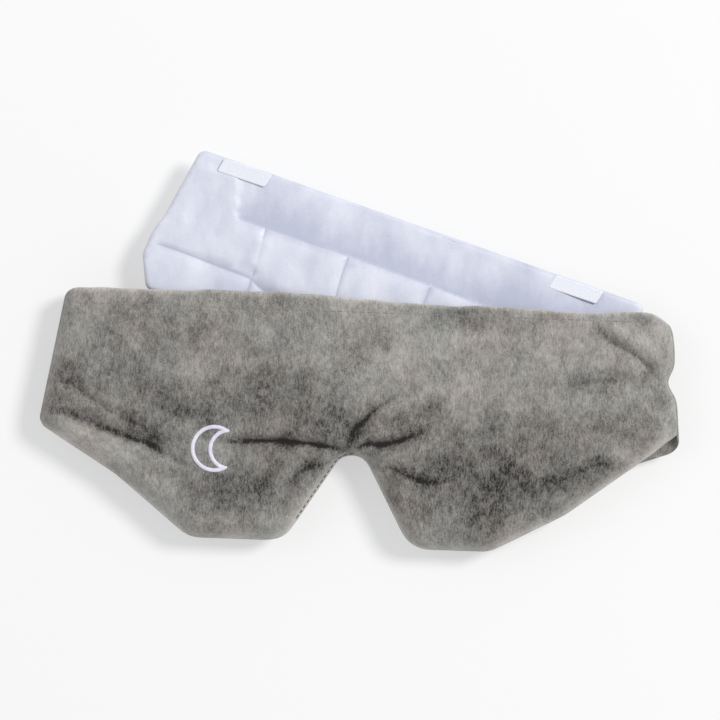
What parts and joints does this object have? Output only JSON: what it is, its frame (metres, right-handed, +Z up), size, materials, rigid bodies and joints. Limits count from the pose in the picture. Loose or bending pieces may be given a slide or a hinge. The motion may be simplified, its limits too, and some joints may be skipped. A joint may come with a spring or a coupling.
{
  "type": "sleep eye mask",
  "caption": "Wrap-around plush sleep mask with folding wings, a nose arch, a closure tab and a removable quilted weighted insert swung partly out of its pocket.",
  "frame": {"origin": "middle of the footprint of the mask as it lies, on the table", "axes": "+X along the top edge towards the right fold, +Y towards the forehead, +Z up out of the front panel"},
  "size_m": [0.2824, 0.1738, 0.0236],
  "materials": {
    "plush": "matte",
    "lining": "matte",
    "padding": "matte",
    "satin": "satin",
    "beads": "gloss",
    "tape_white": "matte",
    "tape_grey": "matte",
    "thread_light": "satin",
    "thread_dark": "satin"
  },
  "bodies": {
    "cover_front": {"front_panel": "plush", "face_lining": "lining", "edge_seam": "plush", "nose_seam_stitch": "thread_dark", "mouth_hem_stitch": "thread_dark", "moon_embroidery": "thread_light", "pocket_loop_tabs": "tape_white"},
    "left_wing": {"left_wing_outer": "plush", "left_wing_padding": "padding", "left_wing_lining": "lining", "loop_patch": "tape_grey", "loop_patch_stitch": "thread_dark"},
    "right_wing": {"right_wing_outer": "plush", "right_wing_padding": "padding", "right_wing_lining": "lining", "tab_root_stitch": "thread_dark"},
    "closure_tab": {"closure_tab_outer": "plush", "closure_tab_lining": "lining", "hook_strip": "tape_grey", "hook_strip_stitch": "thread_dark"},
    "weighted_insert": {"insert_front_shell": "satin", "insert_back_shell": "satin", "bead_fill": "beads", "quilting_stitch": "thread_light", "insert_edge_stitch": "thread_light", "insert_hook_tabs": "tape_white"}
  },
  "joints": [
    {"name": "left_wing_fold", "type": "hinge", "parent": "cover_front", "child": "left_wing", "pos_m": [-0.14294, -0.03738, 0.01433], "axis": [0.1699, 0.9855, 0], "range_deg": [0, 179]},
    {"name": "right_wing_fold", "type": "hinge", "parent": "cover_front", "child": "right_wing", "pos_m": [0.14266, -0.04038, 0.01433], "axis": [0.085, -0.9964, 0], "range_deg": [0, 179]},
    {"name": "closure_tab_fold", "type": "hinge", "parent": "right_wing", "child": "closure_tab", "pos_m": [0.00946, -0.03188, 0.00215], "axis": [0, 1, 0], "range_deg": [0, 179.5]},
    {"name": "insert_swing", "type": "hinge", "parent": "cover_front", "child": "weighted_insert", "pos_m": [0.13166, 0.01912, 0.01555], "axis": [0, 0, 1], "range_deg": [-73.2, 17.6]}
  ]
}
